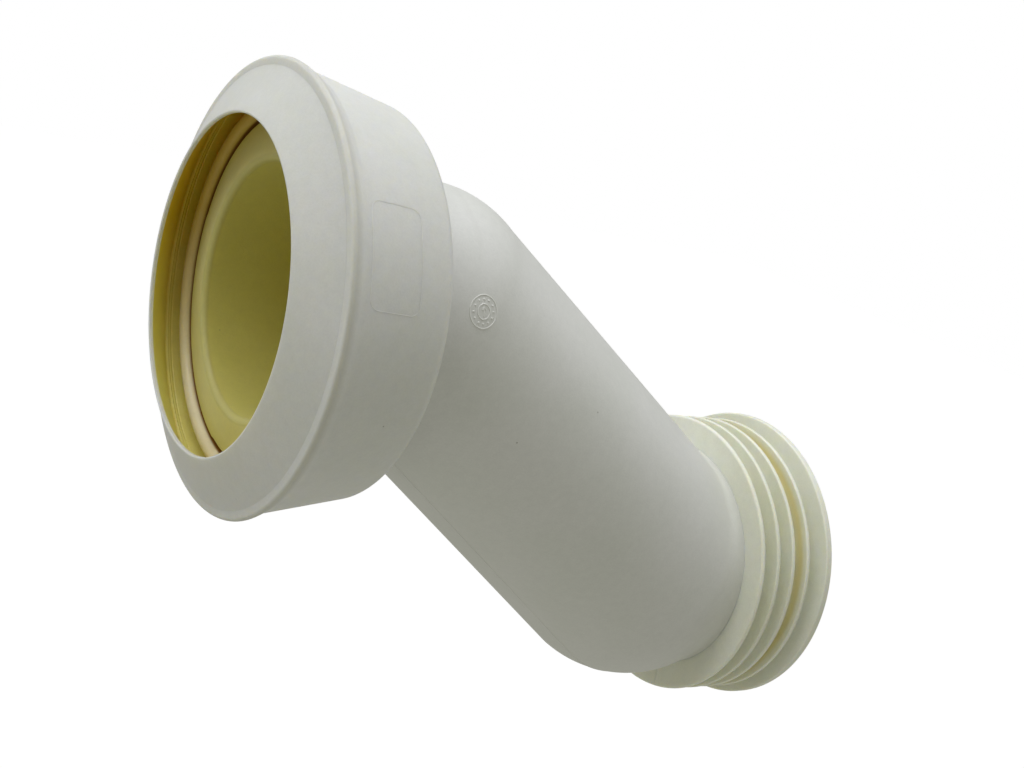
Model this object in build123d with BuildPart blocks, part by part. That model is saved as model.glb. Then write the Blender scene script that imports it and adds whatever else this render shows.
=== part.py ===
"""Toilet pan connector with an offset duct.

The inlet mouth faces -X and the flow runs along +X. The outlet leaves along +X too, on an axis that
lies below the inlet axis. The origin is the centre of the mouth's lip. All sizes are in millimetres.
"""

import os
from math import asin, degrees, hypot, sqrt

from build123d import *

# Offset duct
OFFSET_DROP = 84.0          # outlet axis below the inlet axis
INLET_BEND_X = 65.3         # where the inlet axis meets the slanted leg
OUTLET_BEND_X = 185.8       # where the slanted leg meets the outlet axis
PIPE_WALL = 2.8
INLET_BORE_DIA = 76.4
INLET_BALL_SWELL = 0.4      # the first bend stands proud of the inlet leg by this much
OUTLET_BALL_SWELL = 3.4     # the second bend stands proud of the spigot by this much
BEND_BLEND = 5.0            # blend where a straight leg runs into a bend

# Soft cap over the drum
MOUTH_DIA = 100.0           # free size of the lip that stretches over the pan spigot
LIP_LAND = 2.4              # length of the mouth's edge along the axis
LIP_ROUND = 0.5
CONE_STEP = 3.8             # thickness of the cone along the axis
CAP_RIM_DIA = 136.6         # over the rim bead
CAP_RIM_X = 8.0
BEAD_WIDTH = 3.0            # from the cone's outer edge to the rim
BEAD_RISE = 0.9             # bead above the cone
BEAD_STEP = 1.5             # bead above the skirt
BEAD_INNER_ROUND = 0.6
BEAD_OUTER_ROUND = 1.6
BEAD_LAND = 0.2             # flat left at the rim behind its round
BEAD_FLARE = 2.8            # length of the blend from the bead down to the skirt
SKIRT_WALL = 3.0
SKIRT_TAPER = 6.3           # radius that the skirt loses towards its back edge
CAP_BACK_X = 44.4
BACK_EDGE_ROUND = 4.4
GRIP_LIP = 5.5              # cap turned in behind the drum
GRIP_ROUND = 1.2

# Inlet flange and drum
FLANGE_FACE_X = 14.4        # outer edge of the face that looks out of the mouth
BORE_LIP_RISE = 2.6         # that face rises by this much towards the bore
FLANGE_WALL = 3.2
BORE_EDGE_ROUND = 2.6
RING_SEAT_DEPTH = 4.4       # step in the flange that carries the seal ring
DRUM_INSET = 3.8            # end of the drum before the cap's back edge
DRUM_WALL = 3.0
CAP_FIT = 0.15              # between the cap and the drum

# Seal ring in the flange's step
RING_WIDTH = 7.4
RING_RISE = 3.0             # ring above the flange face
RING_FLAT = 0.6             # flat between the two rounds of its front
RING_FIT = 0.3              # between the ring and the step's side
RING_ROOM = 1.2             # between the ring and the cap

# Finned sleeve on the outlet spigot
FIN_DIA = 105.6             # a little over the bore of the soil pipe
FIN_HEIGHT = 6.9
FIN_PITCH = 7.8
FIN_COUNT = 4               # the first is the collar beside the pipe
FIN_TIP = 1.6               # width of a fin's tip
FIN_LEAN = 1.2              # tip set back from the root, against the push into the soil pipe
FIN_TAPER = 1.8             # root wider than the tip by this much
FIN_ROUND = 0.5
COLLAR_ROUND = 0.9
DEEP_GROOVE = 1.2           # the last groove but one is cut deeper by this much
END_LIP_RISE = 3.2          # end lip above the fins
END_LIP_TIP = 3.0
END_LIP_ROUND = 0.6
SEAL_WALL = 2.8
SEAL_FIT = 0.1              # between the sleeve and the spigot
SEAL_STOP = 2.6             # shoulder behind the end of the spigot
SPIGOT_NECK = 3.8           # from the second bend's ball to the sleeve

# Lines and planes shared by the pieces
run = OUTLET_BEND_X - INLET_BEND_X
leg_length = hypot(run, OFFSET_DROP)
inlet_axis = Axis((0, 0, 0), (1, 0, 0))
outlet_axis = Axis((0, 0, -OFFSET_DROP), (1, 0, 0))
leg_axis = Axis((INLET_BEND_X, 0, 0), (run, 0, -OFFSET_DROP))
inlet_plane = Plane(origin=(0, 0, 0), x_dir=(1, 0, 0), z_dir=(0, -1, 0))
outlet_plane = Plane(origin=(0, 0, -OFFSET_DROP), x_dir=(1, 0, 0), z_dir=(0, -1, 0))
leg_plane = Plane(origin=(INLET_BEND_X, 0, 0), x_dir=(run, 0, -OFFSET_DROP), z_dir=(0, -1, 0))

# Outlet radii, from the fins inwards to the bore
fin_r = FIN_DIA / 2
end_lip_r = fin_r + END_LIP_RISE
groove_r = fin_r - FIN_HEIGHT
sleeve_r = groove_r - SEAL_WALL
spigot_r = sleeve_r - SEAL_FIT
outlet_bore_r = spigot_r - PIPE_WALL
outlet_ball_r = spigot_r + OUTLET_BALL_SWELL

# Places along the sleeve: each fin's tip ends one pitch after the one before
ball_end_x = OUTLET_BEND_X + sqrt(outlet_ball_r**2 - spigot_r**2)
seal_face_x = ball_end_x + SPIGOT_NECK
collar_tip_x = seal_face_x - FIN_LEAN + FIN_TIP
end_lip_x = collar_tip_x + FIN_COUNT * FIN_PITCH - FIN_TIP
seal_end_x = end_lip_x + END_LIP_TIP
pipe_end_x = seal_end_x - SEAL_STOP - SEAL_FIT

# Inlet radii and places, from the cap inwards to the bore
inlet_bore_r = INLET_BORE_DIA / 2
inlet_tube_r = inlet_bore_r + PIPE_WALL
inlet_ball_r = inlet_tube_r + INLET_BALL_SWELL
rim_r = CAP_RIM_DIA / 2
skirt_front_r = rim_r - BEAD_STEP
skirt_front_x = CAP_RIM_X + BEAD_FLARE
drum_end_x = CAP_BACK_X - DRUM_INSET
ring_floor_x = FLANGE_FACE_X + RING_SEAT_DEPTH
ring_front_x = FLANGE_FACE_X - RING_RISE
bore_lip_x = FLANGE_FACE_X - BORE_LIP_RISE


def skirt_radius(x):
    """Outside radius of the cap's tapered skirt at a place along the inlet axis."""
    return skirt_front_r - SKIRT_TAPER * (x - skirt_front_x) / (CAP_BACK_X - skirt_front_x)


def drum_radius(x):
    """Outside radius of the drum, which lies just inside the skirt."""
    return skirt_radius(x) - SKIRT_WALL - CAP_FIT


cap_inside_r = skirt_radius(ring_floor_x) - SKIRT_WALL
ring_outer_r = cap_inside_r - RING_ROOM
ring_inner_r = ring_outer_r - RING_WIDTH
step_r = ring_inner_r - RING_FIT


def turned_section(plane, corners):
    """Half section of a turned piece, through corners given as place, radius and rounding."""
    with BuildSketch(plane) as section:
        with BuildLine():
            points = [(x, r) for x, r, rounding in corners]
            FilletPolyline(*points, radius=[rounding for x, r, rounding in corners], close=True)
        make_face()
    return section.sketch


def tube_section(plane, start_x, end_x, radius):
    """Half section of a straight leg, solid to its axis."""
    return turned_section(
        plane, [(start_x, 0, 0), (end_x, 0, 0), (end_x, radius, 0), (start_x, radius, 0)]
    )


def leg_section(start_r, end_r):
    """Half section of the slanted leg: two balls joined by the line that touches both."""
    lean = degrees(asin((end_r - start_r) / leg_length))
    with BuildSketch(leg_plane) as section:
        with BuildLine():
            first_ball = CenterArc((0, 0), start_r, 180, lean - 90)
            last_ball = CenterArc((leg_length, 0), end_r, 90 + lean, -90 - lean)
            Line(first_ball @ 1, last_ball @ 0)
            Line(last_ball @ 1, first_ball @ 0)
        make_face()
    return section.sketch


def round_edges(straight_leg):
    """Edges that run round a straight leg, along the flow: its open end, or its crease with a bend."""
    return straight_leg.edges().filter_by(GeomType.LINE, reverse=True).sort_by(Axis.X)


# Rigid pipe: drum and flange, inlet leg, slanted leg and outlet spigot
with BuildPart() as offset_pipe:
    revolve(tube_section(inlet_plane, FLANGE_FACE_X, INLET_BEND_X, inlet_tube_r), axis=inlet_axis)
    revolve(leg_section(inlet_ball_r, outlet_ball_r), axis=leg_axis)
    inlet_tube = offset_pipe.faces().filter_by(GeomType.CYLINDER).sort_by(Axis.X)[0]
    fillet(round_edges(inlet_tube)[1:], BEND_BLEND)
    split(bisect_by=Plane(origin=(seal_face_x, 0, 0), z_dir=(1, 0, 0)), keep=Keep.BOTTOM)
    revolve(tube_section(outlet_plane, OUTLET_BEND_X, pipe_end_x, spigot_r), axis=outlet_axis)
    spigot = offset_pipe.faces().filter_by(GeomType.CYLINDER).sort_by(Axis.X)[-1]
    fillet(round_edges(spigot)[:-1], BEND_BLEND)

    # Flange, ring step and drum wall, open at the back
    flange_back_x = FLANGE_FACE_X + FLANGE_WALL
    floor_back_x = ring_floor_x + FLANGE_WALL
    flange = turned_section(
        inlet_plane,
        [
            (bore_lip_x, inlet_bore_r, 0),
            (FLANGE_FACE_X, step_r, 0),
            (ring_floor_x, step_r, 0),
            (ring_floor_x, drum_radius(ring_floor_x), 0),
            (drum_end_x, drum_radius(drum_end_x), 0),
            (drum_end_x, drum_radius(drum_end_x) - DRUM_WALL, 0),
            (floor_back_x, drum_radius(floor_back_x) - DRUM_WALL, 0),
            (floor_back_x, step_r - FLANGE_WALL, 0),
            (flange_back_x, step_r - FLANGE_WALL, 0),
            (flange_back_x, inlet_bore_r, 0),
        ],
    )
    revolve(flange, axis=inlet_axis)

    # Passage from the mouth to the outlet
    revolve(
        tube_section(inlet_plane, bore_lip_x, INLET_BEND_X, inlet_bore_r),
        axis=inlet_axis,
        mode=Mode.SUBTRACT,
    )
    revolve(
        leg_section(inlet_ball_r - PIPE_WALL, outlet_ball_r - PIPE_WALL),
        axis=leg_axis,
        mode=Mode.SUBTRACT,
    )
    revolve(
        tube_section(outlet_plane, OUTLET_BEND_X, pipe_end_x, outlet_bore_r),
        axis=outlet_axis,
        mode=Mode.SUBTRACT,
    )

    # Rounded entry of the bore
    mouth_edges = offset_pipe.edges().filter_by(GeomType.CIRCLE).group_by(Axis.X)[0]
    fillet(mouth_edges.sort_by(SortBy.RADIUS)[0], BORE_EDGE_ROUND)
offset_pipe.part.label = "offset_pipe"

# Soft cap: front lip and cone, rim bead, tapered skirt and the lip that grips behind the drum
with BuildPart() as inlet_cap:
    mouth_r = MOUTH_DIA / 2
    lip_front_x = -LIP_LAND / 2
    lip_back_x = LIP_LAND / 2
    cone_edge_r = rim_r - BEAD_WIDTH
    bead_face_x = CAP_RIM_X - BEAD_LAND - BEAD_OUTER_ROUND
    cone_edge_x = bead_face_x + BEAD_RISE
    cone_slope = (cone_edge_x - lip_front_x) / (cone_edge_r - mouth_r)
    inside_x = lip_front_x + CONE_STEP + cone_slope * (cap_inside_r - mouth_r)
    grip_x = drum_end_x + CAP_FIT
    grip_r = skirt_radius(grip_x) - SKIRT_WALL
    cap = turned_section(
        inlet_plane,
        [
            (lip_front_x, mouth_r, LIP_ROUND),
            (cone_edge_x, cone_edge_r, 0),
            (bead_face_x, cone_edge_r, BEAD_INNER_ROUND),
            (bead_face_x, rim_r, BEAD_OUTER_ROUND),
            (CAP_RIM_X, rim_r, 0),
            (skirt_front_x, skirt_front_r, 0),
            (CAP_BACK_X, skirt_radius(CAP_BACK_X), BACK_EDGE_ROUND),
            (CAP_BACK_X, grip_r - GRIP_LIP, GRIP_ROUND),
            (grip_x, grip_r - GRIP_LIP, 0),
            (grip_x, grip_r, 0),
            (ring_floor_x, cap_inside_r, 0),
            (inside_x, cap_inside_r, 0),
            (lip_back_x, mouth_r, 0),
        ],
    )
    revolve(cap, axis=inlet_axis)
inlet_cap.part.label = "inlet_cap"

# Seal ring: flat against the step's floor, round towards the mouth
with BuildPart() as seal_ring:
    ring_round = (RING_WIDTH - RING_FLAT) / 2
    ring = turned_section(
        inlet_plane,
        [
            (ring_floor_x, ring_inner_r, 0),
            (ring_front_x, ring_inner_r, ring_round),
            (ring_front_x, ring_outer_r, ring_round),
            (ring_floor_x, ring_outer_r, 0),
        ],
    )
    revolve(ring, axis=inlet_axis)
seal_ring.part.label = "seal_ring"

# Finned sleeve: collar, fins that lean back, one deeper groove and the larger end lip
with BuildPart() as outlet_seal:
    outline = [(seal_face_x, sleeve_r, 0)]
    for fin in range(FIN_COUNT):
        tip_x = collar_tip_x + fin * FIN_PITCH
        front_round = COLLAR_ROUND if fin == 0 else 0
        floor_r = groove_r - DEEP_GROOVE if fin == FIN_COUNT - 2 else groove_r
        outline += [
            (tip_x - FIN_TIP, fin_r, front_round),
            (tip_x, fin_r, FIN_ROUND),
            (tip_x + FIN_TAPER, floor_r, 0),
            (tip_x + FIN_PITCH - FIN_TIP + FIN_LEAN, floor_r, 0),
        ]
    outline += [
        (end_lip_x, end_lip_r, END_LIP_ROUND),
        (seal_end_x, end_lip_r, END_LIP_ROUND),
        (seal_end_x, outlet_bore_r, 0),
        (pipe_end_x + SEAL_FIT, outlet_bore_r, 0),
        (pipe_end_x + SEAL_FIT, sleeve_r, 0),
    ]
    revolve(turned_section(outlet_plane, outline), axis=outlet_axis)
outlet_seal.part.label = "outlet_seal"

os.makedirs("parts", exist_ok=True)
export_step(offset_pipe.part, "parts/offset_pipe.step")
export_step(inlet_cap.part, "parts/inlet_cap.step")
export_step(seal_ring.part, "parts/seal_ring.step")
export_step(outlet_seal.part, "parts/outlet_seal.step")
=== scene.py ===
import math

import bmesh
import bpy
import numpy as np
from mathutils import Matrix, Vector


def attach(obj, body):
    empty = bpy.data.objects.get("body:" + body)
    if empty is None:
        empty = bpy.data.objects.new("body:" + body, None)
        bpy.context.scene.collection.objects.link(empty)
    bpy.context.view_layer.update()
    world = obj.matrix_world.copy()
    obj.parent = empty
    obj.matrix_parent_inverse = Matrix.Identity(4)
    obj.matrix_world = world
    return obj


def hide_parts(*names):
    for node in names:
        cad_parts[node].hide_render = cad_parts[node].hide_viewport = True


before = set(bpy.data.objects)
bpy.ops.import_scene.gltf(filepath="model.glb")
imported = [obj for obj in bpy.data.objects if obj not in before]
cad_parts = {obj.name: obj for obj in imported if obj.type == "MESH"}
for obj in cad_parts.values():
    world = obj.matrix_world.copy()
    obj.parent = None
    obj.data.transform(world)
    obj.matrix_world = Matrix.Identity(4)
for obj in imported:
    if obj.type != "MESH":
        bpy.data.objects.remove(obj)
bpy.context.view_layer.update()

bl_info = {
    "name": "Offset pan connector",
    "version": (1, 0, 0),
    "blender": (4, 5, 0),
    "location": "3D View > Sidebar > Pan connector",
    "description": "Dresses the offset pan connector: pipe, cap, seal ring, finned sleeve and mould marks",
    "category": "Object",
}

MM = 0.001
SEGMENTS = 192  # faces round each turned piece
EDGE = 0.6 * MM  # usual rounding of a moulded edge

POLYPROPYLENE_IOR = 1.49
ELASTOMER_IOR = 1.5

# Sizes of the patterns in the mouldings' colour and skin.
CLOUD, MOTTLE, GRIT, SPECK_CELL = 38 * MM, 2.6 * MM, 0.6 * MM, 6 * MM
SKIN_LOW, SKIN_HIGH = 0.3, 0.7  # range of the skin's noise that is used
SKIN_HEIGHT = 0.08 * MM
ROUGH_SPREAD = 0.07

# The date dial in shares of its radius: circles with their sides, strokes of the arrow, and the ring of dots.
DIAL_CIRCLES = ((1.0, 96), (0.46, 48))
DIAL_ARROW = (((0, -0.30, 0), (0, 0.30, 0)), ((0, 0.32, 0), (0.15, 0.08, 0)), ((0, 0.32, 0), (-0.15, 0.08, 0)))
DIAL_DOTS = 0.74
DOT_SUNK = 0.55  # share of a dot's radius that lies in the skin

INLET_PIVOT, OUTLET_PIVOT = 60, 65  # from a bend's centre to the point its sections fan about, in mm
DUCT_REACH = 62 * MM  # farther from a section's centre than any wall of the duct
HALVINGS = 36

PAPER_SIZE = 6.0  # half the floor's width, in metres
SOFTBOX_SIZE, SOFTBOX_DISTANCE = 0.8, 1.2  # in metres


def linear(hex_colour):
    """Turn an sRGB hex colour into the linear RGB that shaders work in."""
    channels = [int(hex_colour[i:i + 2], 16) / 255 for i in (1, 3, 5)]
    return tuple(c / 12.92 if c <= 0.04045 else ((c + 0.055) / 1.055) ** 2.4 for c in channels)


def length(name, millimetres, description):
    """A size that the sidebar shows in the scene's own units."""
    return bpy.props.FloatProperty(name=name, description=description, default=millimetres * MM,
                                   subtype="DISTANCE", unit="LENGTH", precision=4)


def tint(name, hex_colour, description):
    """A colour that the sidebar shows as a swatch."""
    return bpy.props.FloatVectorProperty(name=name, description=description, size=3, min=0, max=1,
                                         default=linear(hex_colour), subtype="COLOR")


def angle(name, degrees, description):
    """An angle that the sidebar shows in degrees."""
    return bpy.props.FloatProperty(name=name, description=description, default=math.radians(degrees),
                                   subtype="ANGLE", unit="ROTATION")


def power(name, watts, description):
    """The power of a lamp."""
    return bpy.props.FloatProperty(name=name, description=description, default=watts, min=0,
                                   subtype="POWER", unit="POWER")


class PipeSizes(bpy.types.PropertyGroup):
    """Sizes of the offset pipe."""
    offset_drop: length("Offset drop", 84.0, "How far the outlet's axis lies below the inlet's")
    inlet_bend_x: length("Inlet bend", 65.3, "Distance of the upper ball bend behind the mouth")
    outlet_bend_x: length("Outlet bend", 185.8, "Distance of the lower ball bend behind the mouth")
    wall: length("Wall", 2.8, "Thickness of the pipe's wall")
    inlet_bore: length("Inlet bore", 38.2, "Radius of the bore behind the flange")
    outlet_bore: length("Outlet bore", 40.2, "Radius of the bore in the outlet spigot")
    inlet_swell: length("Inlet swell", 0.4, "How far the upper ball stands out from its tube")
    outlet_swell: length("Outlet swell", 3.4, "How far the lower ball stands out from its tube")
    blend: length("Blend", 2.0, "Width of the soft crease where tube and ball meet")
    end_x: length("Spigot end", 237.33, "Where the spigot ends inside the sleeve")
    flange_x: length("Flange face", 14.4, "Where the flange's face meets its rim")
    flange_rim: length("Flange rim", 53.0, "Radius of the raised flange face")
    rim_step: length("Rim step", 0.35, "How far the flange's rim is set back outside its flush sector")
    flush_from: angle("Flush sector from", -77.6, "Where the flush sector of the flange's rim begins")
    flush_to: angle("Flush sector to", 11.2, "Where the flush sector of the flange's rim ends")
    bore_lip: length("Bore lip", 2.6, "How far the bore's rounded lip stands ahead of the flange rim")
    drum_front_x: length("Drum front", 18.8, "Where the drum's step begins")
    drum_back_x: length("Drum back", 40.6, "Where the drum ends")
    drum_front: length("Drum front radius", 62.15, "Radius of the drum at its step")
    drum_back: length("Drum back radius", 58.06, "Radius of the drum at its open end")


class CapSizes(bpy.types.PropertyGroup):
    """Sizes of the soft inlet cap."""
    mouth: length("Mouth", 50.0, "Radius of the round mouth")
    lip: length("Lip", 1.2, "How far the mouth's edge stands ahead of the part's origin")
    band_x: length("Band", 7.4, "Where the cone ends and the flat band of the rim begins")
    band: length("Band radius", 65.3, "Inner radius of the rim's flat band")
    rim: length("Rim", 68.3, "Radius of the rim")
    flare_x: length("Flare", 13.0, "Where the flare behind the rim ends")
    flare: length("Flare radius", 66.38, "Radius of the skirt where it begins")
    back_x: length("Back", 44.4, "Where the cap ends")
    back: length("Back radius", 60.5, "Radius of the skirt at the back")
    inside: length("Inside", 62.3, "Radius of the wall round the seal ring")
    grip: length("Grip edge", 52.68, "Radius of the edge that is turned in behind the drum")


class RingSizes(bpy.types.PropertyGroup):
    """Sizes of the seal ring."""
    front_x: length("Front", 11.9, "Where the ring's rounded front lies")
    back_x: length("Back", 18.8, "Where the ring sits on the drum's step")
    inner: length("Inner radius", 53.9, "Radius of the ring's hole")
    outer: length("Outer radius", 58.4, "Outer radius of the ring")
    rounding: length("Rounding", 2.2, "Rounding of the ring's front edges")


class SleeveSizes(bpy.types.PropertyGroup):
    """Sizes of the finned outlet sleeve."""
    face_x: length("Collar face", 207.03, "Where the collar's face meets the spigot")
    bore: length("Bore", 43.1, "Radius of the sleeve's bore over the spigot")
    fin: length("Fin radius", 53.3, "Radius of the fin tips")
    groove: length("Groove radius", 45.9, "Radius of the floor between fins")
    deep_groove: length("Deep groove radius", 44.7, "Radius of the floor of the last groove")
    first_tip_x: length("First tip", 207.43, "Where the collar's tip ends")
    pitch: length("Pitch", 7.8, "Distance from fin to fin")
    tip: length("Tip", 1.6, "Width of a fin's tip")
    lean: length("Lean", 1.2, "How far a fin's tip lies ahead of its root")
    taper: length("Taper", 1.8, "How far a fin's back slopes")
    root: length("Root", 1.2, "Width of the soft root on each side of a fin")
    end_lip: length("End lip radius", 56.0, "Radius of the stiff lip at the end")
    end_front_x: length("End lip front", 237.03, "Where the end lip begins")
    end_back_x: length("End lip back", 240.03, "Where the sleeve ends")
    fins: bpy.props.IntProperty(name="Fins", description="Free fins behind the collar", default=3, min=1)


class MarkSizes(bpy.types.PropertyGroup):
    """Sizes of the fine marks that the moulds left."""
    bead: length("Line", 0.16, "Radius of any other fine raised line")
    sink: length("Sink", 0.04, "How far the lines are sunk in the skin")
    dial: length("Dial radius", 5.0, "Radius of the moulder's date dial")
    dots: bpy.props.IntProperty(name="Dial dots", description="Dots round the date dial", default=12, min=3)
    dial_line: length("Dial line", 0.23, "Radius of the dial's raised lines")
    dot: length("Dot radius", 0.52, "Radius of the dial's dots")
    seam_line: length("Seam line", 0.22, "Radius of the pipe's raised seams")
    panel_line: length("Panel line", 0.12, "Radius of the panel's raised outline")
    seam_y: length("Seam", 16.3, "Distance of the mould seams from the middle, under the pipe")
    panel_x: length("Panel place", 23.2, "Middle of the blank panel on the cap's skirt")
    panel_angle: angle("Panel angle", 154.3, "Turn of the blank panel round the skirt")
    panel_width: length("Panel width", 17.0, "Width of the blank panel along the skirt")
    panel_height: length("Panel height", 29.2, "Height of the blank panel round the skirt")
    panel_corner: length("Panel corner", 3.0, "Rounding of the blank panel's corners")


class Finishes(bpy.types.PropertyGroup):
    """Colours of the mouldings."""
    pipe: tint("Pipe", "#E4E4DF", "Off-white of the pipe's outside")
    pipe_cloud: tint("Pipe clouds", "#E0E1DA", "Faint clouds in the pipe's off-white")
    # Paler than the pipe: a painted highlight along the raised marks.
    mark: tint("Marks", "#F0F0EA", "Paler skin on the raised marks")
    # The flange's straw yellow and its clouds are the pipe's own resin with painted light: the yellow and the
    # brightness stand in for shade and bounced light inside the mouth.
    flange: tint("Flange", "#E9E29A", "Straw yellow of the flange's face")
    flange_cloud: tint("Flange clouds", "#E2D98A", "Clouds in the flange's yellow")
    # The bore lip's darker tone is painted shade, laid on to hold back a highlight on the lip's rounding.
    lip: tint("Bore lip", "#CDC67C", "Dulled lip between the flange's face and the bore")
    # The bore's deeper yellow is painted shade down the bore.
    bore: tint("Bore", "#DED67A", "Deeper yellow down the bore")
    cap: tint("Cap", "#E4E4DF", "Off-white of the cap's outside")
    cap_cloud: tint("Cap clouds", "#DFE0D9", "Faint clouds in the cap's off-white")
    # Painted shade: the rim's crest is darkened to hold back a highlight there.
    cap_rim_painted_shade: tint("Cap rim", "#CFCFC7", "Slightly dulled edge of the cap's rim")
    # The cap's inside is its own elastomer with painted light: the bright yellow stands in for shade and bounced light
    # in the hollow.
    cap_inside: tint("Cap inside", "#F6EF92", "Yellowed wall inside the cap")
    cap_inside_cloud: tint("Cap inside clouds", "#EFE582", "Clouds in the cap's yellowed wall")
    # Painted shade: the wall's upper half is a deeper yellow because less light reaches it.
    cap_upper_painted_shade: tint("Cap inside above", "#E0CA38", "Deeper yellow of the wall's upper half")
    ring: tint("Seal ring", "#EDE2C2", "Beige of the seal ring")
    ring_cloud: tint("Seal ring clouds", "#E6D9B0", "Clouds in the ring's beige")
    # Painted shade: the ring's upper half is deeper in tone because less light reaches it.
    ring_upper_painted_shade: tint("Seal ring above", "#D9BB58", "Deeper tone of the ring's upper half")
    # Painted shade: the brown line stands in for the shadow in the joint where the ring meets the flange.
    ring_root_painted_shade: tint("Ring root", "#8A5A10", "Brown line where the ring meets the flange")
    sleeve: tint("Sleeve", "#F2F3E6", "Cream of the collar and the fins")
    sleeve_cloud: tint("Sleeve clouds", "#EDEEDD", "Clouds in the sleeve's cream")
    # Painted shade: the last groove turns yellower towards its floor, standing in for the shade and bounced light
    # there.
    deep_groove: tint("Deep groove", "#EEE8BC", "Yellow in the last groove")


class StageSettings(bpy.types.PropertyGroup):
    """Floor, light and camera."""
    floor_drop: length("Floor", 900.0, "How far the floor lies below the mouth's axis")
    overhead: power("Overhead softbox", 7.8, "Power of the softbox above")
    key: power("Mouth-side softbox", 4.6, "Power of the softbox on the mouth's side")
    rim: power("Rim softbox", 1.3, "Power of the softbox behind the mouth")
    end: power("Outlet-side softbox", 0.9, "Power of the softbox on the outlet's side")
    ambient: bpy.props.FloatProperty(name="Room", description="Brightness of the room's own light",
                                     default=0.318, min=0)
    bounce: bpy.props.FloatProperty(name="Bounce", description="Brightness of the light that comes up from the floor",
                                    default=0.45, min=0)
    room_tone: tint("Room tone", "#FFFFF3", "Faintly warm tone of the room's light")
    lamp_tone: tint("Softbox tone", "#F5F7FF", "Daylight tone of the softboxes")
    lens: bpy.props.FloatProperty(name="Lens", description="Focal length on a 36 mm sensor",
                                  default=47.703, min=1, unit="CAMERA")


# ---- node trees

def add(tree, kind, sockets=None, **settings):
    """Add a node; a socket given another node's output is linked to it, any other value is set."""
    node = tree.nodes.new(kind)
    for key, value in settings.items():
        setattr(node, key, value)
    for key, value in (sockets or {}).items():
        if isinstance(value, bpy.types.NodeSocket):
            tree.links.new(value, node.inputs[key])
        else:
            node.inputs[key].default_value = value
    return node


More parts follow.
